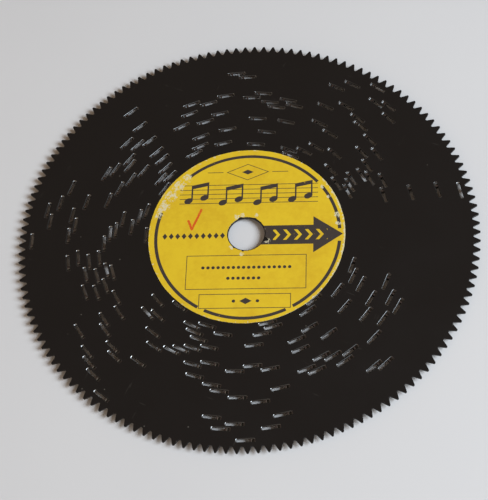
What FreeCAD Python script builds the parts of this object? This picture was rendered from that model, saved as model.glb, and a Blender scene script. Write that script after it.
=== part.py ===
"""Tune disc for a small disc-playing music box.

One stamped and lacquered steel sheet: gear teeth round the rim, a spindle hole in the middle, and a slot for
every note. The metal lanced out of each slot is folded down into a hooked tongue, which plucks the comb's star
wheel. A round paper label is glued on top.

Frame: millimetres. The origin is the centre of the spindle hole, in the plane of the sheet's underside. +Z points
up through the label, and +X runs through a tooth gap, beside which the label's start arrow points. The tongues
hang below z = 0.
"""

import FreeCAD, Part
import math
import os

import Sketcher

# Driving sizes ---------------------------------------------------------------------------------------------------

SIZES = {
    # the stamped sheet
    "disc_diameter": 114.3,  # over the tips of the rim teeth
    "sheet_thickness": 0.4,
    "spindle_hole": 9.06,
    # rim teeth, which the player's drive sprocket turns
    "tooth_count": 144,
    "tooth_depth": 1.68,
    "tip_land": 0.38,
    "root_land": 0.44,
    # note slots and the tongues folded from them
    "track_count": 23,
    "track_pitch": 1.316,
    "rim_margin": 1.14,  # of whole metal between the outermost slots and the tooth gaps
    "slot_length": 4.35,
    "slot_width": 0.75,
    "tongue_clearance": 0.04,  # each side, between a tongue and its slot
    "tongue_depth": 1.3,  # from the sheet's underside to the tongue's nose
    "hook_gap": 0.32,  # inside the hook, between its leg and its upturned end
    "tip_height": 0.3,  # of the upturned end, above the sheet's underside
    # paper label
    "label_margin": 0.18,  # of bare metal between the label and the innermost slots
    "label_hole_margin": 0.32,  # of bare metal between the label and the spindle hole
    "label_thickness": 0.12,
}

# The tune: for each track, counted from the centre, the angles in degrees at which its slots end, clockwise from
# +X as seen from above. Tracks 17 and 22 have no note in this tune.
TUNE = {
    1: [50.5, 79.5, 131.5, 183.5, 215.5, 298],
    2: [57, 77, 112, 198.5, 223.5, 276.5, 295.5, 330.5],
    3: [22, 38, 83, 102.5, 119, 142, 194, 219, 242, 258.5, 303, 321.5, 337.5],
    4: [27, 116, 187.5, 225, 246.5, 334.5],
    5: [60.5, 87, 112.5, 135.5, 280.5, 306.5, 331.5],
    6: [29, 42, 68, 106.5, 139.5, 191, 227, 248.5, 261.5, 315.5],
    7: [113, 185, 217, 332],
    8: [55, 68, 117, 131, 164.5, 183, 210.5, 227.5, 275, 287.5, 335],
    9: [32.5, 87.5, 104, 120, 153, 166, 178.5, 204.5, 252.5, 307, 329, 344.5],
    10: [23.5, 39, 81, 94, 110, 126.5, 146.5, 159.5, 172, 198, 215.5, 242.5, 259, 300.5, 322.5, 338],
    11: [62, 164.5, 217.5, 228.5, 281.5],
    12: [28.5, 58.5, 68.5, 107.5, 158, 171, 211, 224, 247.5, 278.5, 288, 326.5],
    13: [36.5, 52.5, 65.5, 101, 147, 166, 208, 255.5, 271.5, 285, 320],
    14: [30, 43.5, 56, 78.5, 98, 127, 143.5, 159.5, 173, 195, 222, 249.5, 262, 275.5, 298.5, 313.5, 346],
    15: [92, 137, 185.5, 229.5, 310.5],
    16: [85, 134, 171.5, 181.5, 189, 304.5],
    18: [50, 147.5, 198.5, 269.5],
    19: [47, 79, 98.5, 140.5, 192.5, 230.5, 266, 298, 317.5, 347],
    20: [92, 137.5, 186, 311],
    21: [82.5, 95.5, 134, 189.5, 301.5, 314.5],
    23: [89, 128, 179.5, 308],
}

# Slots of the same size with no tongue, in the same terms: the mark at the end of the tune.
OPEN_SLOTS = {23: [348.5]}

CUT_OVER = 1.0  # how far a cutting shape runs past the metal

doc = FreeCAD.newDocument("tune_disc")

sheet = doc.addObject("Spreadsheet::Sheet", "sizes")
for row, (name, value) in enumerate(SIZES.items(), start=1):
    sheet.set(f"A{row}", name)
    sheet.set(f"B{row}", str(value))
    sheet.setAlias(f"B{row}", name)
doc.recompute()


# Helpers ---------------------------------------------------------------------------------------------------------


def new_body(name):
    """A PartDesign body whose label is the piece's name."""
    body = doc.addObject("PartDesign::Body", name)
    body.Label = name
    return body


def origin_item(body, role):
    """A plane or axis of the body's own origin."""
    return next(item for item in body.Origin.OriginFeatures if item.Role == role)


def new_sketch(body, name, role):
    """A sketch on one of the body's origin planes."""
    sketch = body.newObject("Sketcher::SketchObject", name)
    sketch.AttachmentSupport = [(origin_item(body, role), "")]
    sketch.MapMode = "FlatFace"
    return sketch


def bind(sketch, index, name, expression):
    """Names a constraint and ties it to the sheet."""
    sketch.renameConstraint(index, name)
    sketch.setExpression(f"Constraints.{name}", expression)


def add_circle(sketch, name, diameter):
    """A circle about the sketch's origin. Its diameter is an expression on the sheet."""
    value = value_of(diameter)
    origin = FreeCAD.Vector(0, 0, 0)
    edge = sketch.addGeometry(Part.Circle(origin, FreeCAD.Vector(0, 0, 1), value / 2))
    sketch.addConstraint(Sketcher.Constraint("Coincident", edge, 3, -1, 1))
    index = sketch.addConstraint(Sketcher.Constraint("Diameter", edge, value))
    bind(sketch, index, name, diameter)


def add_outline(sketch, corners):
    """A closed outline of straight lines. Each corner is (name, x, y), with x and y as the sheet's expressions."""
    names = [name for name, _, _ in corners]
    values = [(value_of(x), value_of(y)) for _, x, y in corners]
    points = [FreeCAD.Vector(x, y, 0) for x, y in values]
    lines = [Part.LineSegment(here, there) for here, there in zip(points, points[1:] + points[:1])]
    edges = sketch.addGeometry(lines)
    for edge, following in zip(edges, edges[1:] + edges[:1]):
        sketch.addConstraint(Sketcher.Constraint("Coincident", edge, 2, following, 1))
    for edge, name, value, (_, x, y) in zip(edges, names, values, corners):
        across = sketch.addConstraint(Sketcher.Constraint("DistanceX", -1, 1, edge, 1, value[0]))
        bind(sketch, across, f"{name}_x", x)
        up = sketch.addConstraint(Sketcher.Constraint("DistanceY", -1, 1, edge, 1, value[1]))
        bind(sketch, up, f"{name}_y", y)


def cut_through(body, name, sketch):
    """A pocket through the sheet, from its underside up."""
    pocket = body.newObject("PartDesign::Pocket", name)
    pocket.Profile = sketch
    pocket.Type = "ThroughAll"
    pocket.Reversed = True
    pocket.Refine = False
    return pocket


def value_of(expression):
    """What an expression on the sheet comes to."""
    return float(sheet.evalExpression(expression))


# Stamped blank ---------------------------------------------------------------------------------------------------

# The blank is a prism with a flat for each tooth, so every tooth ends in a flat land.
blank = new_body("blank")
prism = blank.newObject("PartDesign::AdditivePrism", "prism")
prism.setExpression("Polygon", "sizes.tooth_count")
prism.setExpression("Circumradius", "sizes.disc_diameter / 2 / cos(180deg / sizes.tooth_count)")
prism.setExpression("Height", "sizes.sheet_thickness")
doc.recompute()

spindle_sketch = new_sketch(blank, "spindle_outline", "XY_Plane")
add_circle(spindle_sketch, "spindle", "sizes.spindle_hole")
cut_through(blank, "spindle_bore", spindle_sketch)
doc.recompute()

# One gap between two teeth, carried on past the rim along its own flanks.
TIP_RADIUS = "sizes.disc_diameter / 2"
ROOT_RADIUS = f"{TIP_RADIUS} - sizes.tooth_depth"
GAP_AT_ROOT = "sizes.root_land / 2"
GAP_AT_TIP = "(pi * sizes.disc_diameter / sizes.tooth_count - sizes.tip_land) / 2"
GAP_PAST_TIP = f"({GAP_AT_TIP}) + (({GAP_AT_TIP}) - {GAP_AT_ROOT}) * {CUT_OVER} / sizes.tooth_depth"
gap_sketch = new_sketch(blank, "tooth_gap_outline", "XY_Plane")
add_outline(gap_sketch, [
    ("root_left", ROOT_RADIUS, GAP_AT_ROOT),
    ("root_right", ROOT_RADIUS, f"-{GAP_AT_ROOT}"),
    ("mouth_right", f"{TIP_RADIUS} + {CUT_OVER}", f"-({GAP_PAST_TIP})"),
    ("mouth_left", f"{TIP_RADIUS} + {CUT_OVER}", f"{GAP_PAST_TIP}"),
])
tooth_gap = cut_through(blank, "tooth_gap", gap_sketch)

tooth_gaps = blank.newObject("PartDesign::PolarPattern", "tooth_gaps")
tooth_gaps.Originals = [tooth_gap]
tooth_gaps.Axis = (origin_item(blank, "Z_Axis"), [""])
tooth_gaps.Angle = 360
tooth_gaps.setExpression("Occurrences", "sizes.tooth_count")
tooth_gaps.Refine = False
blank.Tip = tooth_gaps
doc.recompute()

# Slot punch and folded tongue ------------------------------------------------------------------------------------

# Both are made once, on the +X axis with the slot's middle at the origin, and placed by the tune below. The slot
# runs along Y. Its folded end is at +Y, which is anticlockwise on the disc.

slot_punch = doc.addObject("Part::Box", "slot_punch")
slot_punch.Label = "slot_punch"
slot_punch.setExpression("Length", "sizes.slot_width")
slot_punch.setExpression("Width", "sizes.slot_length")
slot_punch.setExpression("Height", f"sizes.sheet_thickness + {2 * CUT_OVER}")
slot_punch.setExpression("Placement.Base.x", "-sizes.slot_width / 2")
slot_punch.setExpression("Placement.Base.y", "-sizes.slot_length / 2")
slot_punch.setExpression("Placement.Base.z", f"-{CUT_OVER}")

# The tongue from the side: it leaves the slot's end wall, bends down, turns at the nose and comes back up as a
# hook. Its walls are as thick as the sheet, and the nose's cut corners stand in for its bend.
FOLD = "sizes.slot_length / 2"
THICK = "sizes.sheet_thickness"
LEG = f"{FOLD} - {THICK} / 3"
HOOK = f"(2 * {THICK} + sizes.hook_gap)"
BACK = f"{LEG} - {HOOK}"
NOSE = "-sizes.tongue_depth"
CORNER = f"{HOOK} * 3 / 8"

tongue = new_body("tongue")
tongue_sketch = new_sketch(tongue, "tongue_profile", "YZ_Plane")
add_outline(tongue_sketch, [
    ("root_top", FOLD, THICK),
    ("bend_top", f"{LEG} - {THICK} * 0.65", f"{THICK} * 0.75"),
    ("leg_inside", f"{LEG} - {THICK}", f"-{THICK} / 8"),
    ("nose_inside", f"{LEG} - {HOOK} / 2", f"{NOSE} + {THICK}"),
    ("tip_inside", f"{BACK} + {THICK}", "sizes.tip_height"),
    ("tip_outside", BACK, "sizes.tip_height"),
    ("back", BACK, f"{NOSE} + {CORNER}"),
    ("nose_back", f"{BACK} + {CORNER}", NOSE),
    ("nose_front", f"{LEG} - {CORNER}", NOSE),
    ("leg_outside", LEG, f"{NOSE} + {CORNER}"),
    ("root_under", FOLD, "0"),
])
tongue_pad = tongue.newObject("PartDesign::Pad", "tongue_pad")
tongue_pad.Profile = tongue_sketch
tongue_pad.SideType = "Symmetric"
tongue_pad.setExpression("Length", "sizes.slot_width - 2 * sizes.tongue_clearance")
doc.recompute()


# The disc: blank, slots and tongues ------------------------------------------------------------------------------

# The tracks are as far apart as the comb's star wheels, and the outermost lies just inside the teeth.
OUTER_TRACK = f"{ROOT_RADIUS} - sizes.rim_margin - sizes.slot_width / 2"
FIRST_TRACK = f"{OUTER_TRACK} - (sizes.track_count - 1) * sizes.track_pitch"


def on_track(track, slot_end):
    """Where a slot lies, from its track's number and the angle at which it ends."""
    radius = value_of(FIRST_TRACK) + (track - 1) * sheet.track_pitch
    half_slot = math.degrees(sheet.slot_length / 2 / radius)
    turned = FreeCAD.Rotation(FreeCAD.Vector(0, 0, 1), half_slot - slot_end)
    middle = FreeCAD.Placement(FreeCAD.Vector(radius, 0, 0), FreeCAD.Rotation())
    return FreeCAD.Placement(FreeCAD.Vector(0, 0, 0), turned) * middle


def copies(master, score):
    """A copy of the master's shape for every slot in the score."""
    placed = []
    for track, slot_ends in score.items():
        for slot_end in slot_ends:
            copy = master.Shape.copy()
            copy.Placement = on_track(track, slot_end) * master.Shape.Placement
            placed.append(copy)
    return placed


# A tune is no regular pattern, so the copies are placed and joined here and not by a pattern feature.
slotted = blank.Shape.cut(Part.Compound(copies(slot_punch, TUNE) + copies(slot_punch, OPEN_SLOTS)))
folded = slotted.fuse(Part.Compound(copies(tongue, TUNE)))

music_disc = doc.addObject("Part::Feature", "music_disc")
music_disc.Label = "music_disc"
music_disc.Shape = folded.Solids[0]

# Paper label -----------------------------------------------------------------------------------------------------

# The label fills the plain middle of the disc, just short of the innermost slots and of the hole.
paper_label = new_body("paper_label")
label_sketch = new_sketch(paper_label, "label_outline", "XY_Plane")
add_circle(label_sketch, "edge", f"2 * ({FIRST_TRACK} - sizes.slot_width / 2 - sizes.label_margin)")
add_circle(label_sketch, "hole", "sizes.spindle_hole + 2 * sizes.label_hole_margin")
label_pad = paper_label.newObject("PartDesign::Pad", "label_pad")
label_pad.Profile = label_sketch
label_pad.setExpression("Length", "sizes.label_thickness")
paper_label.setExpression("Placement.Base.z", "sizes.sheet_thickness")
doc.recompute()

# Checks and export -----------------------------------------------------------------------------------------------

for item in doc.Objects:
    assert not {"Invalid", "Error"} & set(item.State), f"{item.Label} failed: {item.State}"

notes = sum(len(slot_ends) for slot_ends in TUNE.values())
slots = notes + sum(len(slot_ends) for slot_ends in OPEN_SLOTS.values())
slot_area = sheet.slot_width * sheet.slot_length
expected = blank.Shape.Volume - slots * slot_area * sheet.sheet_thickness + notes * tongue.Shape.Volume
assert len(folded.Solids) == 1, "the tongues and the sheet are one piece of metal"
assert math.isclose(music_disc.Shape.Volume, expected, rel_tol=1e-6), "a slot or a tongue is out of place"

os.makedirs("parts", exist_ok=True)
for piece in (music_disc, paper_label):
    assert not piece.Shape.isNull() and piece.Shape.isValid(), f"{piece.Label} is not a sound solid"
    piece.Shape.exportStep(f"parts/{piece.Label}.step")
    box = piece.Shape.BoundBox
    print(f"{piece.Label}: {box.XLength:.2f} x {box.YLength:.2f} x {box.ZLength:.2f} mm, "
          f"{piece.Shape.Volume:.1f} mm3, {len(piece.Shape.Faces)} faces")
print(f"{slots} slots, {notes} tongues")
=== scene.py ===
# %% [markdown]
# # A tune disc for a small music box
#
# The real thing is one sheet of steel, stamped, lacquered black and punched with a slot for every note of a
# tune. A round paper label is glued on top. This lesson dresses the CAD model: it rolls the stamped edges
# over, wears the lacquer, prints the label, and lights it all on a pale table. Lengths are in millimetres,
# because that is how such a disc is drawn, and each finished mesh is scaled to metres once, at its end.

import math

import bmesh
import bpy
from mathutils import Matrix, Vector, bvhtree, noise


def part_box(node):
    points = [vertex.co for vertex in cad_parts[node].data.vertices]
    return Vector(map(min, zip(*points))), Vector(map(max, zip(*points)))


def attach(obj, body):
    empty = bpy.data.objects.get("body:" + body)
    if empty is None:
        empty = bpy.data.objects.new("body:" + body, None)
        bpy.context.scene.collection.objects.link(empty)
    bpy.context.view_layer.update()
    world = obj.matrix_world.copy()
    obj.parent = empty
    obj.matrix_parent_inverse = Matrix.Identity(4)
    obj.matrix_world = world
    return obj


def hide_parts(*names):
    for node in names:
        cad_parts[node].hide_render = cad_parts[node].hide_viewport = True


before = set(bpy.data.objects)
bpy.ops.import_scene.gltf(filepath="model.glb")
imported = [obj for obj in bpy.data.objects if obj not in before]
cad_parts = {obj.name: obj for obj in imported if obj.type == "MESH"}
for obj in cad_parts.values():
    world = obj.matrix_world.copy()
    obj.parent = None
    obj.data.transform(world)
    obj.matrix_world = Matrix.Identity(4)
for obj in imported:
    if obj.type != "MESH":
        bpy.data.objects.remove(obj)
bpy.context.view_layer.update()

MM = 0.001  # one millimetre, in metres


def in_mm(corner):
    """A corner of a box, given in metres, as millimetres."""
    return Vector(corner) / MM


disc_low, disc_high = map(in_mm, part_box("music_disc"))
label_low, label_high = map(in_mm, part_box("paper_label"))
DISC_RADIUS = disc_high.x
SHEET_TOP = label_low.z
FLOOR = disc_low.z
print(f"disc radius {DISC_RADIUS:.2f} mm, sheet {SHEET_TOP:.2f} mm thick, tongues down to {FLOOR:.2f} mm")

# %% [markdown]
# ## The camera first
#
# The camera stands in front of the disc, a little to its right, and looks steeply down. Its place, the point
# it aims at and its roll are all that fix the view, and they are easy to picture as lengths on the table. A
# camera could also be turned by three angles, which are hard to guess. A long lens from far off keeps the
# disc's ellipse calm.

# %% Camera
CAMERA_PLACE = Vector((37.3, -164.1, 295.0))
CAMERA_AIM = Vector((-0.3, -4.5, 0.4))
CAMERA_ROLL = math.radians(-11.1)
LENS = 98.9  # on a sensor of 36 mm
NEAREST = 10  # the camera draws nothing that is nearer than this


def add_camera():
    """A camera at its place, aimed and rolled."""
    data = bpy.data.cameras.new("camera")
    data.lens = LENS
    data.clip_start = NEAREST * MM
    camera = bpy.data.objects.new("camera", data)
    bpy.context.scene.collection.objects.link(camera)
    aim = (CAMERA_AIM - CAMERA_PLACE).to_track_quat("-Z", "Y").to_matrix()
    turned = (aim @ Matrix.Rotation(CAMERA_ROLL, 3, "Z")).to_4x4()
    camera.matrix_world = Matrix.Translation(CAMERA_PLACE * MM) @ turned
    bpy.context.scene.camera = camera


add_camera()

# %% [markdown]
# ## Shader maths that reads like maths
#
# A finish is a sum of small masks: a scratch here, a worn edge there. Written as nodes one by one they are
# hard to read, so a small class wraps a node's output and lends it the signs of arithmetic. `1 - mask` then
# adds a Math node.

# %% Add a node


def node(tree, kind, settings=None, inputs=None, output=0):
    """Adds a node. Its settings are set first, then its inputs, by name or number."""
    made = tree.nodes.new(kind)
    for name, value in (settings or {}).items():
        setattr(made, name, value)
    for name, value in (inputs or {}).items():
        if isinstance(value, Wire):
            tree.links.new(value.socket, made.inputs[name])
        else:
            made.inputs[name].default_value = value
    return Wire(made.outputs[output])


# %% A socket that can be added and multiplied
class Wire:
    """A node's output. Sums and products of wires add the Math nodes they need."""

    def __init__(self, socket):
        self.socket = socket
        self.tree = socket.id_data

    def maths(self, operation, *values):
        return node(self.tree, "ShaderNodeMath", {"operation": operation}, dict(enumerate(values)))

    def __add__(self, other):
        return self.maths("ADD", self, other)

    __radd__ = __add__

    def __sub__(self, other):
        return self.maths("SUBTRACT", self, other)

    def __rsub__(self, other):
        return self.maths("SUBTRACT", other, self)

    def __mul__(self, other):
        return self.maths("MULTIPLY", self, other)

    __rmul__ = __mul__

    def __truediv__(self, other):
        return self.maths("DIVIDE", self, other)

    def __abs__(self):
        return self.maths("ABSOLUTE", self)

    def __mod__(self, other):
        return self.maths("FLOORED_MODULO", self, other)

    def root(self):
        return self.maths("SQRT", self)

    def sine(self):
        return self.maths("SINE", self)

    def at_least(self, other):
        return self.maths("MAXIMUM", self, other)

    def at_most(self, other):
        return self.maths("MINIMUM", self, other)

    def step(self, start, end):
        """0 at start, 1 at end and smooth between them. Start may be the larger."""
        inputs = {"Value": self, "From Min": start, "From Max": end}
        return node(self.tree, "ShaderNodeMapRange", {"interpolation_type": "SMOOTHSTEP"}, inputs)

    def below(self, edge, soft):
        """1 where this is below edge, with a soft edge of that width."""
        return 1 - self.step(edge - soft / 2, edge + soft / 2)


# %% Masks and colours


def either(*masks):
    """1 where any of the masks is."""
    found = masks[0]
    for mask in masks[1:]:
        found = found.at_least(mask)
    return found


def mix(mask, base, over):
    """A colour or wire over another where the mask is 1."""
    settings = {"data_type": "RGBA"}
    return node(mask.tree, "ShaderNodeMix", settings, {"Factor": mask, 6: base, 7: over}, output=2)


def colour(red, green, blue):
    """A colour as a screen shows it, from 0 to 255, made linear."""
    shares = [value / 255 for value in (red, green, blue)]
    linear = [share / 12.92 if share < 0.04045 else ((share + 0.055) / 1.055) ** 2.4 for share in shares]
    return (*linear, 1)


# %% A new material and its coordinates


def new_material(name):
    """A material, its node tree and its shader."""
    material = bpy.data.materials.new(name)
    material.use_nodes = True
    tree = material.node_tree
    return material, tree, tree.nodes["Principled BSDF"]


def places(tree, turn=0.0, offset=(0, 0, 0)):
    """The object's own coordinates, in millimetres."""
    coordinates = node(tree, "ShaderNodeTexCoord", output="Object")
    inputs = {"Vector": coordinates, "Scale": (1 / MM,) * 3, "Rotation": (0, 0, turn), "Location": offset}
    return node(tree, "ShaderNodeMapping", inputs=inputs)


def split(vector):
    """The three parts of a vector."""
    return [node(vector.tree, "ShaderNodeSeparateXYZ", inputs={0: vector}, output=axis) for axis in range(3)]


# %% Noise, relief and the shader's inputs


def cloud(vector, size, detail=2.0, roughness=0.5, stretch=None):
    """Soft noise whose blotches are about that size, from 0 to 1."""
    tree = vector.tree
    if stretch:
        settings = {"operation": "MULTIPLY"}
        vector = node(tree, "ShaderNodeVectorMath", settings, {0: vector, 1: stretch})
    inputs = {"Vector": vector, "Scale": 1 / size, "Detail": detail, "Roughness": roughness}
    return node(tree, "ShaderNodeTexNoise", inputs=inputs)


def relief(height, strength, depth):
    """A normal for a surface that rises with height, by depth in millimetres where that is 1."""
    inputs = {"Strength": strength, "Distance": depth * MM, "Height": height}
    return node(height.tree, "ShaderNodeBump", inputs=inputs, output="Normal")


def feed(shader, wires):
    """Links what changes over a surface to the shader's inputs."""
    for name, wire in wires.items():
        wire.tree.links.new(wire.socket, shader.inputs[name])


# %% [markdown]
# ## The stamped disc
#
# The CAD disc has every tooth, slot and folded tongue in its place, but its edges are as sharp as a drawing.
# On the real sheet the press tool leaves rounded rims, and the metal bends round a small radius where a
# tongue is folded. A new mesh drawn from scratch could only copy the same places again, so a copy of the
# CAD mesh is welded and its flat faces are joined up.

# %% A welded copy of the disc
WELD = 0.002  # points nearer than this are one point
FLAT = math.radians(1)  # faces that meet at less than this are one face


def welded(node_name):
    """A bmesh of a CAD node in millimetres, with its triangles joined into flat faces."""
    shape = bmesh.new()
    shape.from_mesh(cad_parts[node_name].data)
    bmesh.ops.scale(shape, vec=(1 / MM,) * 3, verts=shape.verts)
    bmesh.ops.remove_doubles(shape, verts=shape.verts, dist=WELD)
    bmesh.ops.dissolve_limit(shape, angle_limit=FLAT, verts=shape.verts, edges=shape.edges)
    return shape


disc = welded("music_disc")
print(f"welded disc: {len(disc.verts)} vertices, {len(disc.faces)} faces")

# %% [markdown]
# The tongues were drawn with a hair's gap beside them, down to their roots. In the metal a tongue grows out
# of the sheet at full width, so the slivers of wall at each root are collapsed. The upright corners of the
# teeth and slots and the folds of the tongues are then rounded with the bevel operator, which keeps each
# corner in its place.

# %% Close the slivers at the tongues' roots
SLIVER = 0.05

slivers = [edge for edge in disc.edges if edge.calc_length() < SLIVER]
bmesh.ops.collapse(disc, edges=slivers)
print(f"{len(slivers)} slivers closed")

# %% Tests that tell the edges apart
TEETH = 2.2  # how far in from the tips the rim's own edges reach
HUB = 8.0  # a radius between the bore and the innermost slots
CORNER = math.radians(20), math.radians(120)  # how far a wall turns at a corner of the outline
KNEE = math.radians(30), math.radians(75)  # how far a tongue turns down where it leaves the sheet
ALONG_RADIUS = 0.97  # the least share of a fold's direction that lies along the disc's radius
LEVEL = 0.99  # the least share of a level face's normal that is upright


def middle(edge):
    return (edge.verts[0].co + edge.verts[1].co) / 2


def in_tracks(point):
    """True between the hub and the teeth, where the slots are."""
    return HUB < point.xy.length < DISC_RADIUS - TEETH


def runs_through(edge):
    """True for an edge that runs straight through the sheet, at a corner of its outline."""
    rise = abs(edge.verts[0].co.z - edge.verts[1].co.z)
    return abs(rise - SHEET_TOP) < WELD and CORNER[0] < edge.calc_face_angle(0) < CORNER[1]


def folds_tongue(edge):
    """True for an edge across a tongue where the strip is folded."""
    direction = (edge.verts[1].co - edge.verts[0].co).normalized()
    across = abs(direction.xy.dot(middle(edge).xy.normalized())) > ALONG_RADIUS
    on_sheet = max(abs(face.normal.z) for face in edge.link_faces) > LEVEL and middle(edge).z > FLOOR / 2
    return in_tracks(middle(edge)) and across and not on_sheet and middle(edge).z < SHEET_TOP - WELD


def bends_knee(edge):
    """True for the fold on top of a tongue where it leaves the sheet."""
    turns = KNEE[0] < edge.calc_face_angle(0) < KNEE[1]
    return folds_tongue(edge) and turns and middle(edge).z > SHEET_TOP / 2


# %% Round the corners and the folds
TOOTH_ROUND = 0.11
SLOT_ROUND = 0.28
FOLD_ROUND = 0.12
KNEE_ROUND = 0.24


def round_over(test, width, segments):
    """A rounded bevel along the edges that pass a test."""
    edges = [edge for edge in disc.edges if test(edge)]
    bmesh.ops.bevel(
        disc, geom=edges, offset=width, offset_type="OFFSET", segments=segments, profile=0.5,
        affect="EDGES", clamp_overlap=True, material=-1,
    )
    print(f"{len(edges)} edges rounded by {width} mm")


round_over(lambda edge: runs_through(edge) and not in_tracks(middle(edge)), TOOTH_ROUND, 2)
round_over(lambda edge: runs_through(edge) and in_tracks(middle(edge)), SLOT_ROUND, 4)
round_over(lambda edge: folds_tongue(edge) and not bends_knee(edge), FOLD_ROUND, 2)
round_over(bends_knee, KNEE_ROUND, 4)

# %% [markdown]
# The rims could be bevelled too, but a bevel has nowhere to put its new corners on a face with 179 holes, so
# they are rolled over step by step. The top face is taken off, which leaves the tops of all the walls as
# open edges. Each is lowered by its own roll, then extruded back up along a quarter circle, and a new top
# with all its holes is filled in between. The roll is widest where the lancing tool went in first and
# beside a tongue's root, where the fold drew the sheet down.

# %% Take the top off


def open_level(height):
    """Deletes the level faces at a height and returns the edges that this leaves open."""
    level = [face for face in disc.faces if all(abs(vert.co.z - height) < WELD for vert in face.verts)]
    bmesh.ops.delete(disc, geom=level, context="FACES")
    return [edge for edge in disc.edges if edge.is_boundary]


rim = open_level(SHEET_TOP)
print(f"{len(rim)} edges open round the holes and the teeth")

# %% Find the roots and the drawn metal beside them
SLOPING = 0.5  # the least share of a knee's normal that is upright
ROOT_LENGTH = 0.3  # from a root's corner to where the sheet is drawn down most


def at_root(vert):
    """True where the rim meets a tongue, which slopes away from the sheet."""
    return any(edge.link_faces[0].normal.z > SLOPING for edge in vert.link_edges if edge.is_boundary)


roots = {vert for edge in rim for vert in edge.verts if in_tracks(vert.co) and at_root(vert)}
drawn = set()
for edge in [edge for edge in rim if len(roots.intersection(edge.verts)) == 1]:
    root = next(iter(roots.intersection(edge.verts)))
    drawn.add(bmesh.utils.edge_split(edge, root, ROOT_LENGTH / edge.calc_length())[1])
rim = [edge for edge in disc.edges if edge.is_boundary]
print(f"{len(roots)} corners at the roots, {len(drawn)} drawn points beside them")

# %% How far each part of a rim rolls
RIM_ROLL = 0.06  # at the teeth and the bore
SIDE_ROLL = 0.12  # along a slot
END_ROLL = 0.30  # round a slot's free end
DRAWN_ROLL = 0.25  # beside a root
ROOT_ROLL = 0.04  # at the root's own corners


def outward(vert):
    """The level direction out of the metal at a rim corner, longer at a sharper corner."""
    walls = [edge.link_faces[0].normal.xy.normalized() for edge in vert.link_edges if edge.is_boundary]
    return (walls[0] + walls[1]) / (1 + walls[0].dot(walls[1]))


def round_the_disc(point):
    """The level direction anticlockwise round the disc, from a slot's free end to its tongue's root."""
    return Vector((-point.y, point.x)).normalized()


def free_end(vert):
    """1 on the rim round a slot's free end, 0 along its sides."""
    return min(1, 2 * outward(vert).normalized().dot(round_the_disc(vert.co)) ** 2)


def roll_at(vert):
    """How far the rim is rolled at a corner."""
    if not in_tracks(vert.co):
        return RIM_ROLL
    if at_root(vert):
        return ROOT_ROLL
    if vert in drawn:
        return DRAWN_ROLL
    return SIDE_ROLL + (END_ROLL - SIDE_ROLL) * free_end(vert)


# %% How far the lacquer is rubbed off a roll
SIDE_RUB = 0.30
DRAWN_RUB = 0.36
END_RUB = 0.55


def rubbed(vert):
    """How bare the middle of a roll is: most round a free end, and not at all at the teeth and the bore."""
    if not in_tracks(vert.co):
        return 0.0
    if vert in drawn:
        return DRAWN_RUB
    return SIDE_RUB + (END_RUB - SIDE_RUB) * free_end(vert)


# %% Roll the rims over
ROLL_STEPS = 4

away = {vert: outward(vert).to_3d() for edge in rim for vert in edge.verts}
reach = {vert: roll_at(vert) for vert in away}
start = {vert: vert.co.copy() for vert in away}
peak = {vert: rubbed(vert) for vert in away}
worn = {vert: 0.0 for vert in away}
for vert in away:
    vert.co.z -= reach[vert]
for step in range(1, ROLL_STEPS + 1):
    turn = math.pi / 2 * step / ROLL_STEPS
    grown = bmesh.ops.extrude_edge_only(disc, edges=rim)["geom"]
    rim = [edge for edge in grown if isinstance(edge, bmesh.types.BMEdge) and edge.is_boundary]
    for vert in {vert for edge in rim for vert in edge.verts}:
        old = next(edge.other_vert(vert) for edge in vert.link_edges if not edge.is_boundary)
        away[vert], start[vert], reach[vert], peak[vert] = away[old], start[old], reach[old], peak[old]
        worn[vert] = peak[old] * math.sin(2 * turn)
        vert.co = start[vert] - away[vert] * reach[vert] * (1 - math.cos(turn))
        vert.co.z -= reach[vert] * (1 - math.sin(turn))
print(f"{len(rim)} rim edges rolled over by {min(reach.values())} to {max(reach.values()):.2f} mm")

# %% Fill the top and the underside again


def fill_level(edges, height, up):
    """Fills an outline at a height with all its holes."""
    for vert in {vert for edge in edges for vert in edge.verts}:
        vert.co.z = height
    made = bmesh.ops.triangle_fill(disc, edges=edges, use_beauty=True, normal=(0, 0, up))["geom"]
    faces = [face for face in made if isinstance(face, bmesh.types.BMFace)]
    flipped = [face for face in faces if face.normal.z * up < 0]
    bmesh.ops.reverse_faces(disc, faces=flipped)
    print(f"{len(faces)} triangles filled, {len(flipped)} turned over")


fill_level(rim, SHEET_TOP, 1)
fill_level(open_level(0), 0, -1)
bmesh.ops.recalc_face_normals(disc, faces=disc.faces)
open_edges = sum(not edge.is_manifold for edge in disc.edges)
volume = disc.calc_volume(signed=True)
print(f"stamped disc: {len(disc.faces)} faces, {open_edges} open edges, {volume:.1f} mm3")

# %% [markdown]
# The sheet was lacquered before it was punched. A rolled edge is rubbed bright and a cut wall has turned
# brown.
# The inside of each hook is painted pale, partly as dust and partly as painted light that lifts the shade in
# the hook's gap. So the finish has to know which face is which. Separate materials could tell them apart,
# but would meet in hard lines. Every corner of every face gets a number instead, in an attribute that the
# material
# reads later: 0 on the flat lacquer, 0.25 on a tongue's fold, 0.3 to 0.55 along a roll, 1 on a cut wall and
# 2 inside a hook. A number per corner fades across a face.

# %% Tests that tell the faces apart
UPRIGHT = 0.1  # the largest share of a wall's normal that is upright
SIDEWAYS = 0.7  # the least share of a side wall's normal that lies along the disc's radius
ACROSS_TONGUE = 0.9  # the least share of a hook face's normal that lies round the disc
HOOK_REACH = 0.4  # more than the gap inside a hook


def is_cut(face):
    """True for a wall that the tool sheared: upright in the sheet, or the level end of a hook."""
    centre = face.calc_center_median()
    sideways = abs(face.normal.xy.normalized().dot(centre.xy.normalized())) > SIDEWAYS
    upright = abs(face.normal.z) < UPRIGHT and (sideways or centre.z > 0)
    return upright or (face.normal.z > LEVEL and SHEET_TOP / 2 < centre.z < SHEET_TOP - WELD)


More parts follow.
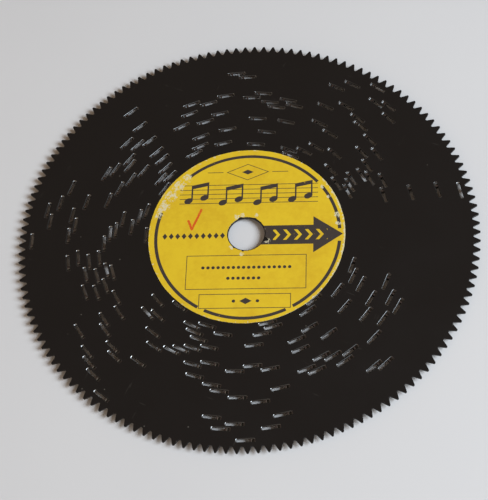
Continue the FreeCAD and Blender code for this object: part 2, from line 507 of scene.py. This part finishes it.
def in_hook(face):
    """True for the two faces inside a hook, which look at each other across its gap."""
    centre = face.calc_center_median()
    across = abs(face.normal.xy.normalized().dot(round_the_disc(centre))) >= ACROSS_TONGUE
    eye = centre + face.normal * WELD
    if not across or face.normal.z > ACROSS_TONGUE or eye.z >= SHEET_TOP / 2:
        return False
    return solid.ray_cast(eye, face.normal, HOOK_REACH)[0] is not None


def on_tongue(face):
    """True for the fold of a tongue that shows from above."""
    return face.normal.z > UPRIGHT and SHEET_TOP / 2 < face.calc_center_median().z < SHEET_TOP - WELD


# %% Mark what the press tool cut and rubbed
LACQUERED, FOLDED, CUT, HOOKED = 0.0, 0.25, 1.0, 2.0
FILLED = 0.995  # the filled top is more level than this, and a rolled face less


def finish_of(face):
    """The number for a face that wasn't rolled."""
    if not in_tracks(face.calc_center_median()):
        return LACQUERED
    tests = {HOOKED: in_hook, CUT: is_cut, FOLDED: on_tongue}
    return next((finish for finish, test in tests.items() if test(face)), LACQUERED)


solid = bvhtree.BVHTree.FromBMesh(disc)
wear = disc.loops.layers.float.new("wear")
counts = {}
for face in disc.faces:
    face.smooth = True
    rolled = all(vert in worn for vert in face.verts) and face.normal.z < FILLED
    flat = finish_of(face)
    counts[flat] = counts.get(flat, 0) + (not rolled)
    for corner in face.loops:
        corner[wear] = worn[corner.vert] if rolled else flat
print(f"faces by finish: {counts}")

# %% [markdown]
# ## From a bmesh to a piece
#
# Both pieces are finished in one way. Edges that turn sharply are marked, so that shading stays crisp along
# a cut, and weighted normals keep the large level faces level beside their small rounds. The alternative is
# flat shading, which would show every facet of a roll. The mesh is scaled to metres here, and the object
# stays at the origin.

# %% Finish a piece
SHARP = math.radians(35)


def finish_piece(shape, name, replaced, material):
    """Turns a bmesh in millimetres into a piece that stands for a CAD node."""
    shape.normal_update()
    for edge in shape.edges:
        edge.smooth = edge.calc_face_angle(math.pi) < SHARP
    bmesh.ops.scale(shape, vec=(MM,) * 3, verts=shape.verts)
    mesh = bpy.data.meshes.new(name)
    shape.to_mesh(mesh)
    shape.free()
    piece = bpy.data.objects.new(name, mesh)
    bpy.context.scene.collection.objects.link(piece)
    mesh.materials.append(material)
    normals = piece.modifiers.new("level faces stay level", "WEIGHTED_NORMAL")
    normals.keep_sharp = True
    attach(piece, "root")
    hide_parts(replaced)
    mesh.calc_loop_triangles()
    print(f"{name}: {len(mesh.loop_triangles)} triangles")
    return piece


# %% [markdown]
# ## Black lacquer
#
# The lacquer is a thin stoved coat: nearly black, a little brown, and half glossy. It could be one flat
# colour with a gloss, but a real coat is never even. Here a slow cloud varies the gloss, a fine one gives
# the skin its peel, hair scratches catch the light and a few specks of dust lie on top. The attribute says
# where the coat gives way: to dull steel along a roll and bright steel round a slot's free end, to brown
# rust on a cut wall, and inside a hook to a pale colour that is partly dust and partly painted light,
# which lifts the shade in the hook's gap.

# %% Scratches and specks


def hair_scratches(tree, turn, length):
    """Long thin marks in one direction, 1 on the scratch, where a slow cloud allows them."""
    streaks = cloud(places(tree, turn=turn), 1.0, 2, 0.6, stretch=(1 / length, 12 / length, 1))
    allowed = cloud(places(tree, turn=turn), 9.0)
    return streaks.step(0.70, 0.74) * allowed.step(0.52, 0.62)


def specks(tree, spacing, size, share):
    """Small round specks, one in a share of the cells."""
    inputs = {"Vector": places(tree), "Scale": 1 / spacing}
    near = node(tree, "ShaderNodeTexVoronoi", inputs=inputs, output="Distance")
    chance = split(node(tree, "ShaderNodeTexVoronoi", inputs=inputs, output="Color"))[0]
    return near.below(size / spacing, 0.4 * size / spacing) * chance.below(share, 0.01)


# %% The lacquered steel
LACQUER = colour(23, 21, 21)
DUST = colour(96, 92, 84)
RUBBED = colour(81, 82, 83)
BURNISHED = colour(181, 183, 185)
RUST = colour(50, 37, 31)
# Pale colour inside the hooks: partly dust, partly painted light that lifts the shade in the hooks' gaps.
HOOK_DUST_AND_PAINTED_LIGHT = colour(104, 94, 82)
LACQUER_INDEX = 1.42  # how strongly the coat mirrors the room
LACQUER_GLOSS = 0.34  # as roughness
# The numbers of the attribute between which each finish fades in:
RUBBED_FROM, BURNISHED_FROM = (0.03, 0.25), (0.28, 0.56)
RUSTY_FROM, HOOK_DUST_AND_PAINTED_LIGHT_FROM = (0.7, 0.9), (1.4, 1.6)


def lacquered_steel():
    """Black lacquer over steel, bare on the rolls, brown on the cut walls, and pale in the hooks as dust and
    painted light.
    """
    material, tree, shader = new_material("black_lacquered_steel")
    number = node(tree, "ShaderNodeAttribute", {"attribute_name": "wear"}, output="Fac")
    rusty = number.step(*RUSTY_FROM)
    bare = number.step(*RUBBED_FROM) * (1 - rusty)
    scratches = either(hair_scratches(tree, 0.4, 9), hair_scratches(tree, 1.9, 7))
    dust = specks(tree, spacing=2.6, size=0.16, share=0.10)
    uneven = cloud(places(tree), 14) - 0.5

    coat = mix(scratches * 0.12, LACQUER, DUST)
    coat = mix(dust * 0.7, coat, DUST)
    # Inside a hook the colour turns pale: partly dust, partly painted light that lifts the hook's shade.
    coat = mix(rusty, coat, mix(number.step(*HOOK_DUST_AND_PAINTED_LIGHT_FROM), RUST, HOOK_DUST_AND_PAINTED_LIGHT))
    steel = mix(number.step(*BURNISHED_FROM), RUBBED, BURNISHED)
    peel = cloud(places(tree), 0.9, 2) * 0.6 + cloud(places(tree), 6, 1) * 2
    grain = cloud(places(tree), 0.25, 3) * 1.5
    feed(shader, {
        "Base Color": mix(bare, coat, steel),
        "Metallic": bare,
        "Roughness": LACQUER_GLOSS + uneven * 0.14 + scratches * 0.1 + dust * 0.3 + rusty * 0.3,
        "Normal": relief(peel * (1 - bare) + grain * rusty, strength=0.35, depth=0.01),
    })
    shader.inputs["IOR"].default_value = LACQUER_INDEX
    return material


finish_piece(disc, "lacquered_disc", "music_disc", lacquered_steel())

# %% [markdown]
# ## The paper label
#
# The label is a ring of thin paper. A flat ring with a cut edge would look like plastic, because real paper
# frays: its hole is torn where spindles have rubbed it and its rim is nicked. So one radius is spun into a
# ring of many columns, the rim and the hole are pulled in and out, and the ring is extruded up to the
# paper's thickness. The underside stays flat on the sheet, and the top waves by a hundredth of a millimetre.

# %% Tears round the hole
HOLE_RADIUS = 4.78
TEARS = [  # degrees from the arrow, depth, and half width in degrees
    (-16.6, 1.15, 9), (112, 0.35, 9), (64, 0.2, 7), (233, 0.2, 7), (263, 0.3, 5),
]


def tear(angle):
    """How far the paper is torn back from the hole at an angle in radians."""
    depth = 0.0
    for place, reach, half_width in TEARS:
        away = abs((math.degrees(angle) - place + 180) % 360 - 180) / half_width
        depth = max(depth, reach * (1 - away))
    return depth


print(f"{len(TEARS)} tears, up to {max(reach for _, reach, _ in TEARS)} mm deep")

# %% Spin the label
COLUMNS = 480
LABEL_RADIUS = label_high.x
EDGE_STEPS = 0.25, 0.7  # the loops beside the hole and the rim, measured from each
FIRST_LOOP, LOOP_STEP, LOOPS = 1.7, 2.2, 8  # the loops between them, measured from the hole

paper = bmesh.new()
radii = [HOLE_RADIUS] + [HOLE_RADIUS + step for step in EDGE_STEPS]
radii += [HOLE_RADIUS + FIRST_LOOP + loop * LOOP_STEP for loop in range(LOOPS)]
radii += [LABEL_RADIUS - step for step in reversed(EDGE_STEPS)] + [LABEL_RADIUS]
chain = [paper.verts.new((radius, 0, label_low.z)) for radius in radii]
edges = [paper.edges.new(pair) for pair in zip(chain, chain[1:])]
bmesh.ops.spin(
    paper, geom=chain + edges, cent=(0, 0, 0), axis=(0, 0, 1), angle=math.tau, steps=COLUMNS, use_merge=True
)
print(f"label spun with {len(radii)} loops of {COLUMNS} columns")

# %% Fray its rim and its hole
FRAY = 0.07
HOLE_GIVE, RIM_GIVE = 2.0, 1.5  # how far in from the hole and from the rim the paper moves with them


def rough(angle, turns, seed):
    """A smooth random number from -1 to 1 that closes on itself round the ring."""
    return noise.noise(Vector((math.cos(angle) * turns, math.sin(angle) * turns, seed)))


for vert in paper.verts:
    angle = math.atan2(vert.co.y, vert.co.x)
    radius = vert.co.xy.length
    near_hole = max(0, 1 - (radius - HOLE_RADIUS) / HOLE_GIVE)
    near_rim = max(0, 1 - (LABEL_RADIUS - radius) / RIM_GIVE)
    moved = near_hole * (tear(angle) + FRAY * rough(angle, turns=9, seed=3))
    nicks = 0.6 + rough(angle, turns=11, seed=5) + 0.7 * rough(angle, turns=40, seed=8)
    moved -= near_rim * FRAY * nicks
    vert.co.xy *= (radius + moved) / radius
spans = [vert.co.xy.length for vert in paper.verts]
print(f"the paper reaches from {min(spans):.2f} to {max(spans):.2f} mm")

# %% Thicken it
WAVE = 0.014
BROAD_WAVE, FINE_WAVE = 6, 1.7

raised = bmesh.ops.extrude_face_region(paper, geom=paper.faces[:])
for vert in raised["geom"]:
    if isinstance(vert, bmesh.types.BMVert):
        wave = noise.noise(vert.co / BROAD_WAVE) + 0.5 * noise.noise(vert.co / FINE_WAVE)
        vert.co.z = label_high.z + WAVE * wave
bmesh.ops.recalc_face_normals(paper, faces=paper.faces)
for face in paper.faces:
    face.smooth = True
print(f"label: {len(paper.faces)} faces, {paper.calc_volume(signed=True):.1f} mm3")

# %% [markdown]
# ## The print
#
# Printed shapes have sharp edges at any size, so they are drawn by distance: each shape is a number that is
# negative inside it, and ink lies wherever the smallest of them is below zero. A picture could hold the same
# print, but it would blur in a close view. The print sits a little off the paper's centre and turned by a
# degree or two, as print on a die-cut label does, and one Mapping node holds both.

# %% Where the print sits
PRINT_CENTRE = Vector((0.27, -0.30, 0))
PRINT_TURN = math.radians(-1.7)


def print_frame(tree):
    """The print's own coordinates, in millimetres from the middle of the ring."""
    offset = Matrix.Rotation(PRINT_TURN, 3, "Z") @ -PRINT_CENTRE
    return places(tree, turn=PRINT_TURN, offset=offset)


# %% Shapes by distance


def panel(x, y, centre, half):
    """The distance to a rectangle, negative inside."""
    return (abs(x - centre[0]) - half[0]).at_least(abs(y - centre[1]) - half[1])


def lozenge(x, y, centre, half):
    """The distance to an upright lozenge."""
    slope = math.hypot(*half)
    reach = abs(x - centre[0]) * (half[1] / slope) + abs(y - centre[1]) * (half[0] / slope)
    return reach - half[0] * half[1] / slope


def spot(x, y, centre, radius, squash=1.0):
    """The distance to a round or oval spot."""
    across = x - centre[0]
    up = (y - centre[1]) / squash
    return (across * across + up * up).root() - radius


def stroke(x, y, start, end, width):
    """The distance to a round-ended stroke."""
    length = math.dist(start, end)
    along = ((end[0] - start[0]) / length, (end[1] - start[1]) / length)
    run = (x - start[0]) * along[0] + (y - start[1]) * along[1]
    side = (x - start[0]) * -along[1] + (y - start[1]) * along[0]
    beyond = run - run.at_least(0).at_most(length)
    return (beyond * beyond + side * side).root() - width / 2


def outline(distance, width):
    """The rule along a shape's edge."""
    return abs(distance) - width / 2


# %% Several shapes at once


def nearest(*distances):
    """The distance to several shapes at once."""
    found = distances[0]
    for distance in distances[1:]:
        found = found.at_most(distance)
    return found


def repeated(value, period, start):
    """A coordinate that starts again in every period, measured from the middle of each."""
    return (value - start) % period - period / 2


def row_of(shape, x, y, half_length, height, period, centre=0.0):
    """A row of one small shape, cut off at its ends."""
    local = repeated(x - centre, period, -half_length)
    return shape(local, y - height).at_least(abs(x - centre) - half_length)


# %% [markdown]
# The ring, the start arrow and the two boxes are plain printer's shapes. The rest of the label holds
# ornaments: a stave with beamed notes, a lozenge, and rows of dots where a title could stand. Each is a
# short function of the print's x and y, so that its sizes can be read like those of a drawing.

# %% Ring
RING_RADIUS = 22.8
RING_WIDTH = 0.82
RING_GAPS = [(132.8, 164.5), (38.0, 42.6), (-3.6, 5.2), (-62.7, -58.0), (-118.5, -113.9)]  # in degrees


def ring(x, y):
    """A broken ring: the gaps are cut square across it."""
    radius = (x * x + y * y).root()
    angle = y.maths("ARCTAN2", y, x)
    distance = abs(radius - RING_RADIUS) - RING_WIDTH / 2
    for start, end in RING_GAPS:
        middle_angle = math.radians((start + end) / 2) + PRINT_TURN
        half = math.radians(end - start) / 2 * RING_RADIUS
        distance = distance.at_least(half - abs(angle - middle_angle) * RING_RADIUS)
    return distance


# %% Arrow
ARROW_HEIGHT = -0.13
SHAFT_HALF = 2.66
HEAD_START, HEAD_TIP, HEAD_HALF = 16.3, 23.57, 5.07
OVERLAP = 0.1  # of the shaft with the head
CHEVRON_PERIOD, CHEVRON_START, CHEVRON_SLOPE, CHEVRON_HALF = 2.68, 6.4, 0.8, 0.42
CHEVRON_PANEL = ((13.1, ARROW_HEIGHT), (6.7, 1.45))  # centre and half size


def arrow(x, y):
    """A shaft from the hole to the head, and the head."""
    shaft = panel(x, y, (HEAD_START / 2, ARROW_HEIGHT), (HEAD_START / 2 + OVERLAP, SHAFT_HALF))
    slope = HEAD_HALF / (HEAD_TIP - HEAD_START)
    flank = (abs(y - ARROW_HEIGHT) - (HEAD_TIP - x) * slope) * math.cos(math.atan(slope))
    return nearest(shaft, flank.at_least(HEAD_START - x))


def chevrons(x, y):
    """Open chevrons along the arrow's shaft."""
    folded = repeated(x + abs(y - ARROW_HEIGHT) * CHEVRON_SLOPE, CHEVRON_PERIOD, CHEVRON_START)
    return (abs(folded) - CHEVRON_HALF).at_least(panel(x, y, *CHEVRON_PANEL))


# %% Boxes and stave
RULE = 0.17  # the width of a thin line
BOXES = ((-0.04, -10.31), (14.66, 4.59)), ((-0.12, -18.2), (11.09, 1.87))  # centre and half size
STAVE_LINES = 5
STAVE_LOW, STAVE_STEP, STAVE_HALF = 9.2, 1.32, 17.4


def boxes(x, y):
    """The thin outlines of the title's box and the one below it."""
    return nearest(*(outline(panel(x, y, *box), RULE) for box in BOXES))


def stave(x, y):
    """Thin level lines."""
    line = outline(repeated(y, STAVE_STEP, STAVE_LOW - STAVE_STEP / 2), RULE)
    height = (STAVE_LINES - 1) * STAVE_STEP
    return line.at_least(panel(x, y, (0, STAVE_LOW + height / 2), (STAVE_HALF, height / 2 + RULE)))


# %% Beamed notes
PAIRS = 4
PAIR_PERIOD = 8.7
PAIR_HEIGHT, PAIR_SWAY, PAIR_TURN = 10.0, 0.5, 2.3  # the pairs' heights follow a sine
HEADS = (-2.1, 1.9)
HEAD_RADIUS, HEAD_SQUASH = 1.05, 0.78
STEM_PLACE, STEM_HALF = 0.85, (0.2, 1.9)
BEAM = ((0.75, 3.8), (2.2, 0.55))  # centre and half size
BEAM_SLOPE = 0.22


def notes(x, y):
    """Pairs of beamed notes, each pair at its own height on the stave."""
    half_length = PAIRS * PAIR_PERIOD / 2
    local = repeated(x, PAIR_PERIOD, -half_length)
    pair = (x - local + half_length) / PAIR_PERIOD
    level = y - PAIR_HEIGHT - (pair * PAIR_TURN).sine() * PAIR_SWAY - local * BEAM_SLOPE
    heads = [spot(local, level, (place, 0), HEAD_RADIUS, HEAD_SQUASH) for place in HEADS]
    stems = [panel(local, level, (place + STEM_PLACE, STEM_HALF[1]), STEM_HALF) for place in HEADS]
    return nearest(*heads, *stems, panel(local, level, *BEAM)).at_least(abs(x) - half_length)


# %% Lozenges and dots
CREST = (-0.4, 18.2)
CREST_HALF, CREST_MIDDLE_HALF = (5.2, 2.3), (1.5, 0.7)
CREST_RULE, CREST_RULE_HALF = 8.2, 2.0  # the short rules beside the crest: place and half length
TITLE_ROWS = [(11.25, -9.05, 1.25, 0.0), (4.4, -12.0, 1.25, -0.6)]  # half length, height, period, centre
LEFT_ROW = (8.0, -0.1, 1.6, -13.35)
CODE, CODE_HALF = (0.1, -18.2), (1.5, 0.85)
CODE_ROW = (0.7, -18.2, 1.4, 2.9)


def dot(x, y):
    return spot(x, y, (0, 0), 0.42)


def small_lozenge(x, y):
    return lozenge(x, y, (0, 0), (0.62, 0.86))


def ornaments(x, y):
    """What fills the label between the ring, the arrow and the boxes."""
    crest = outline(lozenge(x, y, CREST, CREST_HALF), RULE)
    crest_middle = lozenge(x, y, CREST, CREST_MIDDLE_HALF)
    rules = panel(abs(x - CREST[0]), y, (CREST_RULE, CREST[1]), (CREST_RULE_HALF, RULE / 2))
    title = [row_of(dot, x, y, *row) for row in TITLE_ROWS]
    left = row_of(small_lozenge, x, y, *LEFT_ROW)
    code = nearest(lozenge(x, y, CODE, CODE_HALF), row_of(dot, abs(x - CODE[0]), y, *CODE_ROW))
    return nearest(crest, crest_middle, rules, *title, left, code)


# %% [markdown]
# ## The printed paper
#
# The paper is yellow stock with a thin varnish. Its fibres give a fine bump and a faint mottle, decades of
# handling have darkened it in slow patches, and at its upper left edge the print is scuffed through to pale
# fibre. The same pale fibre shows wherever the paper is torn. A short tick in red crayon is drawn over the
# print, and its wax only takes on the high spots of the paper. Each of these is a mask of its own, so that
# one can be changed without the others.

# %% Ink
INK_EDGE = 0.07  # how softly ink ends
INK_CREEP = 0.10  # how far the fibres push its edge about
DRY_FROM, DRYNESS = (0.61, 0.70), 0.6  # where the paper's grain took less ink, and how much less


def inked(x, y, fibre, mottle):
    """1 where ink lies."""
    shapes = nearest(ring(x, y), arrow(x, y), stave(x, y), notes(x, y), ornaments(x, y), boxes(x, y))
    creep = (fibre - 0.5) * INK_CREEP
    cut_out = (chevrons(x, y) + creep).below(0, INK_EDGE)
    dry = (mottle * 0.5 + fibre * 0.5).step(*DRY_FROM) * DRYNESS
    return (shapes + creep).below(0, INK_EDGE) * (1 - cut_out) * (1 - dry)


# %% Wear
SCUFFS = [  # the middle and radius of each
    ((-15.9, 16.1), 1.6), ((-18.0, 13.6), 2.6), ((-19.7, 11.0), 2.5), ((-21.3, 7.8), 2.1),
    ((-22.3, 5.2), 1.4),
]
FRAYS = [
    ((-2.6, 4.8), 1.3), ((-1.3, 5.3), 1.0), ((2.2, 5.4), 0.9), ((5.3, -1.9), 1.3), ((-3.4, -3.8), 1.0),
    ((-0.8, -5.7), 0.9), ((18.3, 13.6), 0.8), ((20.0, 10.9), 0.9), ((22.2, 5.6), 1.3), ((22.6, 3.4), 1.2),
]
SCUFF_FEATHER, FRAY_FEATHER = 1.2, 0.3
PRINTED_RIM = 0.7  # of the label that the scuffs leave alone
THROUGH_FROM = (0.24, 0.32)  # how much wear rubs the print through


def patches(x, y, spots, feather):
    """1 at the middle of the given spots, falling to 0 beyond them."""
    return either(*(spot(x, y, place, 0).step(radius + feather, radius * 0.3) for place, radius in spots))


def scuffed(x, y, grain):
    """1 where the print is rubbed through to pale fibre."""
    radius = (x * x + y * y).root()
    at_rim = radius.step(LABEL_RADIUS - 1.3, LABEL_RADIUS + 0.2) * 0.42
    at_hole = radius.step(5.9, 4.5) * 0.3
    at_right = (x / LABEL_RADIUS).step(0.5, 1.0) * radius.step(21.5, 24.6) * 0.16
    inside = radius.below(LABEL_RADIUS - PRINTED_RIM, 0.5)
    rubs = patches(x, y, SCUFFS, SCUFF_FEATHER) * 0.5 * inside
    frayed = patches(x, y, FRAYS, FRAY_FEATHER) * 0.5
    wear = either(rubs + (at_rim + at_hole) + at_right, frayed)
    return (grain + wear * 0.6 - 0.5).step(*THROUGH_FROM)


# %% Crayon
TICK = [(-14.7, 3.5), (-13.7, 1.1), (-11.7, 6.7)]
CRAYON_WIDTH = 0.60
HIGH_SPOTS_FROM = (0.30, 0.42)


def waxed(x, y, fibre):
    """1 where the crayon left its wax."""
    strokes = nearest(*(stroke(x, y, start, end, CRAYON_WIDTH) for start, end in zip(TICK, TICK[1:])))
    return (strokes + (fibre - 0.5) * 0.4).below(0, 0.12) * fibre.step(*HIGH_SPOTS_FROM)


# %% The printed paper
YELLOW = colour(227, 193, 38)
OCHRE = colour(213, 173, 28)
INK = colour(58, 50, 46)
FIBRE = colour(219, 212, 178)
CRAYON = colour(214, 66, 24)
AGED_FROM = (0.35, 0.75)
CUT_SIDE = (0.09, 0.06)  # heights above the sheet between which the cut side of the paper begins


def printed_paper():
    """Yellow printed label paper, worn at its rim and hole."""
    material, tree, shader = new_material("yellow_label_paper")
    print_x, print_y = split(print_frame(tree))[:2]
    x, y, z = split(places(tree))
    fibre = cloud(places(tree), 0.22, 3, 0.6)
    flecks = cloud(places(tree), 0.7, 3, 0.6)
    mottle = cloud(places(tree), 1.4, 3, 0.6)
    slow = cloud(places(tree), 12, 2)
    ink = inked(print_x, print_y, fibre, mottle)
    scuff = scuffed(x, y, mottle * 0.2 + flecks * 0.45 + fibre * 0.35)

    shade = mix((slow * 0.6 + mottle * 0.4).step(*AGED_FROM), YELLOW, OCHRE)
    shade = mix(ink, shade, INK)
    shade = mix(waxed(x, y, fibre) * 0.9, shade, CRAYON)
    shade = mix(scuff * 0.85, shade, FIBRE)
    shade = mix((z - SHEET_TOP).step(*CUT_SIDE), shade, FIBRE)
    height = fibre * 0.6 + mottle + scuff * 1.5 + ink * 0.5
    feed(shader, {
        "Base Color": shade,
        "Roughness": 0.5 + ink * 0.06 + scuff * 0.3 + (slow - 0.5) * 0.15,
        "Normal": relief(height, strength=0.4, depth=0.012),
    })
    return material


finish_piece(paper, "printed_label", "paper_label", printed_paper())

# %% [markdown]
# ## The table
#
# The disc stands on its folded tongues, so the table lies a little below the sheet and shows through every
# slot. A flat plane would do from above, but a low view would look past its edge. So the table is one line
# spun round: a round top, whose far edge curves up into a pale backdrop.

# %% Table
TABLE_RADIUS = 1300
TABLE_COLUMNS = 96
COVE_RADIUS = 450  # of the curve at its edge
COVE_STEPS = 12
TABLE_ROUGHNESS = 0.75


def table_surface():
    """A pale matt table top with a faint unevenness."""
    material, tree, shader = new_material("pale_table")
    tone = mix(cloud(places(tree), 60, 2), colour(212, 212, 214), colour(217, 217, 218))
    feed(shader, {"Base Color": tone})
    shader.inputs["Roughness"].default_value = TABLE_ROUGHNESS
    return material


def table_shape():
    """A bmesh of the table in metres, facing up and inwards."""
    shape = bmesh.new()
    turns = [math.pi / 2 * step / COVE_STEPS for step in range(COVE_STEPS + 1)]
    profile = [(0, 0)] + [
        (TABLE_RADIUS + COVE_RADIUS * math.sin(turn), COVE_RADIUS * (1 - math.cos(turn))) for turn in turns
    ]
    chain = [shape.verts.new((out, 0, FLOOR + up)) for out, up in profile]
    edges = [shape.edges.new(pair) for pair in zip(chain, chain[1:])]
    bmesh.ops.spin(
        shape, geom=chain + edges, cent=(0, 0, 0), axis=(0, 0, 1), angle=math.tau, steps=TABLE_COLUMNS,
        use_merge=True,
    )
    bmesh.ops.remove_doubles(shape, verts=shape.verts, dist=WELD)
    bmesh.ops.scale(shape, vec=(MM,) * 3, verts=shape.verts)
    shape.normal_update()
    bmesh.ops.reverse_faces(shape, faces=[face for face in shape.faces if face.normal.z < 0])
    for face in shape.faces:
        face.smooth = True
    return shape


def add_table():
    """The table as a piece of the stage."""
    mesh = bpy.data.meshes.new("table")
    shape = table_shape()
    shape.to_mesh(mesh)
    shape.free()
    table = bpy.data.objects.new("table", mesh)
    bpy.context.scene.collection.objects.link(table)
    mesh.materials.append(table_surface())
    print(f"table: {len(mesh.polygons)} faces, {2 * (TABLE_RADIUS + COVE_RADIUS) * MM:.1f} m over all")


add_table()

# %% [markdown]
# ## The light
#
# A soft, slightly blue window stands at the right, a larger and weaker one in front, and a warm room shines
# from all round. A window's strength could be found by trial, but here it is worked out from the light that
# it should give the table. The shares of the three add up to a little over one in each colour, so that a
# surface renders about as it is written. The windows are hidden from the camera, which may look their way.

# %% Windows and room
WINDOW = {"side": -13, "height": 41, "size": 0.55, "light": (0.70, 0.78, 0.85)}  # degrees and metres
FAR_WINDOW = {"side": -98, "height": 36, "size": 1.40, "light": (0.14, 0.12, 0.10)}
WINDOW_DISTANCE = 1.1  # in metres
ROOM_LIGHT = (0.20, 0.14, 0.09)


def add_window(name, side, height, size, light):
    """A square of light whose brightness is worked out from the light it should give the table."""
    side, height = math.radians(side), math.radians(height)
    power = max(light) * (math.pi * WINDOW_DISTANCE) ** 2 / math.sin(height)
    data = bpy.data.lights.new(name, "AREA")
    data.size = size
    data.energy = power
    data.color = [share / max(light) for share in light]
    window = bpy.data.objects.new(name, data)
    window.visible_camera = False
    bpy.context.scene.collection.objects.link(window)
    level = Vector((math.cos(side), math.sin(side), 0)) * math.cos(height)
    place = (level + Vector((0, 0, math.sin(height)))) * WINDOW_DISTANCE
    window.matrix_world = Matrix.Translation(place) @ place.to_track_quat("Z", "Y").to_matrix().to_4x4()
    print(f"{name}: {power:.2f} W")


def add_room():
    """The room's own light, the same from every side."""
    world = bpy.data.worlds.new("room")
    world.use_nodes = True
    world.node_tree.nodes["Background"].inputs["Color"].default_value = (*ROOM_LIGHT, 1)
    bpy.context.scene.world = world


add_window("window", **WINDOW)
add_window("far window", **FAR_WINDOW)
add_room()
bpy.context.scene.view_settings.view_transform = "Standard"
